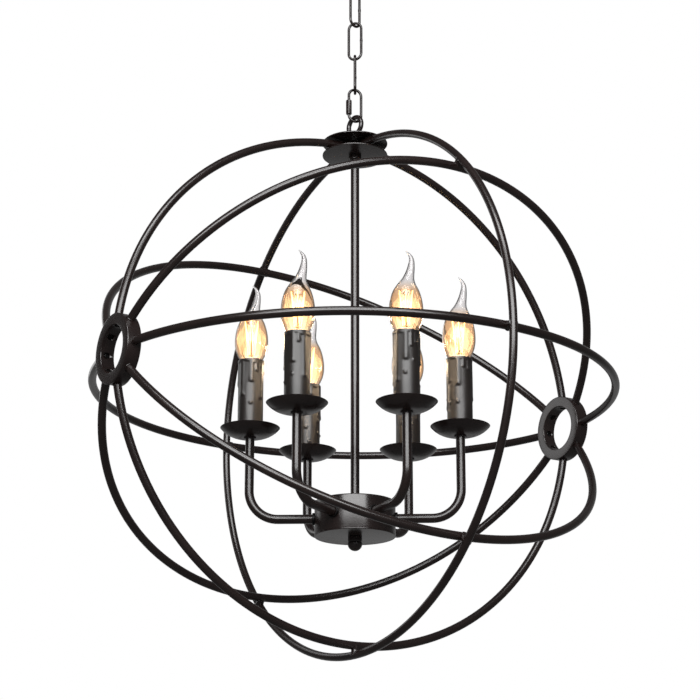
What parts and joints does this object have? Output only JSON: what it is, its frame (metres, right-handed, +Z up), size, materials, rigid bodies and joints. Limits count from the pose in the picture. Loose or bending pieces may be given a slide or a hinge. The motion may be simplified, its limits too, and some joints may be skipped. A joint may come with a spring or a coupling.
{
  "type": "orb chandelier",
  "caption": "Orb chandelier: a round cage of bent bars with a collar at each side, round a ring of candle lamps on a stem, hung by a short chain from a ceiling canopy.",
  "frame": {"origin": "centre of the two ceiling bolt holes, on the ceiling plane, where the strap's top faces lie", "axes": "+Z up into the ceiling; X through the two hub collars; Y across, so that the outer ring lies in the YZ plane"},
  "size_m": [0.5622, 0.5572, 0.7915],
  "materials": {
    "dark_metal": "satin bronze-black powder coat",
    "screw_steel": "black oxide",
    "zinc_steel": "zinc plated",
    "candle_plastic": "black moulded candle sleeve with a soft sheen",
    "holder_plastic": "moulded phenolic",
    "wire_cap_plastic": "moulded",
    "bulb_glass": "clear, amber tinted",
    "cap_metal": "nickel-plated brass"
  },
  "bodies": {
    "ceiling_set": {"ceiling_canopy": "dark_metal", "mounting_strap": "zinc_steel", "canopy_nipple": "zinc_steel", "nipple_nut": "zinc_steel", "canopy_loop": "dark_metal"},
    "link_1": {"chain_link_1": "dark_metal"},
    "link_2": {"chain_link_2": "dark_metal"},
    "link_3": {"chain_link_3": "dark_metal"},
    "quick_link_body": {"quick_link": "dark_metal"},
    "quick_nut": {"quick_link_nut": "dark_metal"},
    "orb": {"hanging_loop": "dark_metal", "upper_cap_disc": "dark_metal", "lower_cap_disc": "dark_metal", "cap_hub": "dark_metal", "stem_coupling": "dark_metal", "stem": "dark_metal", "arc_front_upper": "dark_metal", "arc_front_middle": "dark_metal", "arc_front_lower": "dark_metal", "arc_bottom": "dark_metal", "arc_back_lower": "dark_metal", "arc_back_middle": "dark_metal", "arc_back_upper": "dark_metal", "arc_top_left": "dark_metal", "arc_top_right": "dark_metal", "outer_ring": "dark_metal", "ring_welds": "dark_metal", "left_hub_collar": "dark_metal", "right_hub_collar": "dark_metal", "left_hub_screws": "screw_steel", "right_hub_screws": "screw_steel", "body_canister": "dark_metal", "body_cover": "dark_metal", "stem_lock_nut": "zinc_steel", "centre_rod": "zinc_steel", "finial": "dark_metal", "wire_caps": "wire_cap_plastic", "arm_collars": "dark_metal", "drip_dishes": "dark_metal", "candle_sleeves": "candle_plastic", "lampholders": "holder_plastic", "arm_1": "dark_metal", "arm_2": "dark_metal", "arm_3": "dark_metal", "arm_4": "dark_metal", "arm_5": "dark_metal", "arm_6": "dark_metal"},
    "bulb_1": {"bulb_glass_1": "bulb_glass", "bulb_base_1": "cap_metal"},
    "bulb_2": {"bulb_glass_2": "bulb_glass", "bulb_base_2": "cap_metal"},
    "bulb_3": {"bulb_glass_3": "bulb_glass", "bulb_base_3": "cap_metal"},
    "bulb_4": {"bulb_glass_4": "bulb_glass", "bulb_base_4": "cap_metal"},
    "bulb_5": {"bulb_glass_5": "bulb_glass", "bulb_base_5": "cap_metal"},
    "bulb_6": {"bulb_glass_6": "bulb_glass", "bulb_base_6": "cap_metal"}
  },
  "joints": [
    {"name": "link_1_swing", "type": "hinge", "parent": "ceiling_set", "child": "link_1", "pos_m": [0, 0, -0.0535], "axis": [0.2588, -0.9659, 0], "range_deg": [-10, 10]},
    {"name": "link_2_swing", "type": "hinge", "parent": "link_1", "child": "link_2", "pos_m": [0, 0, -0.09265], "axis": [0.9703, 0.2419, 0], "range_deg": [-10, 10]},
    {"name": "link_3_swing", "type": "hinge", "parent": "link_2", "child": "link_3", "pos_m": [0, 0, -0.13285], "axis": [0.6428, -0.766, 0], "range_deg": [-10, 10]},
    {"name": "quick_link_body_swing", "type": "hinge", "parent": "link_3", "child": "quick_link_body", "pos_m": [0, 0, -0.17305], "axis": [0.5592, 0.829, 0], "range_deg": [-10, 10]},
    {"name": "orb_swing", "type": "hinge", "parent": "quick_link_body", "child": "orb", "pos_m": [0, 0, -0.2068], "axis": [-0.9703, 0.2419, 0], "range_deg": [-10, 10]},
    {"name": "quick_nut_travel", "type": "slide", "parent": "quick_link_body", "child": "quick_nut", "axis": [0, 0, 1], "range_m": [0, 0.005]},
    {"name": "bulb_1_unscrew", "type": "slide", "parent": "orb", "child": "bulb_1", "axis": [0, 0, 1], "range_m": [0, 0.03]},
    {"name": "bulb_2_unscrew", "type": "slide", "parent": "orb", "child": "bulb_2", "axis": [0, 0, 1], "range_m": [0, 0.03]},
    {"name": "bulb_3_unscrew", "type": "slide", "parent": "orb", "child": "bulb_3", "axis": [0, 0, 1], "range_m": [0, 0.03]},
    {"name": "bulb_4_unscrew", "type": "slide", "parent": "orb", "child": "bulb_4", "axis": [0, 0, 1], "range_m": [0, 0.03]},
    {"name": "bulb_5_unscrew", "type": "slide", "parent": "orb", "child": "bulb_5", "axis": [0, 0, 1], "range_m": [0, 0.03]},
    {"name": "bulb_6_unscrew", "type": "slide", "parent": "orb", "child": "bulb_6", "axis": [0, 0, 1], "range_m": [0, 0.03]}
  ]
}
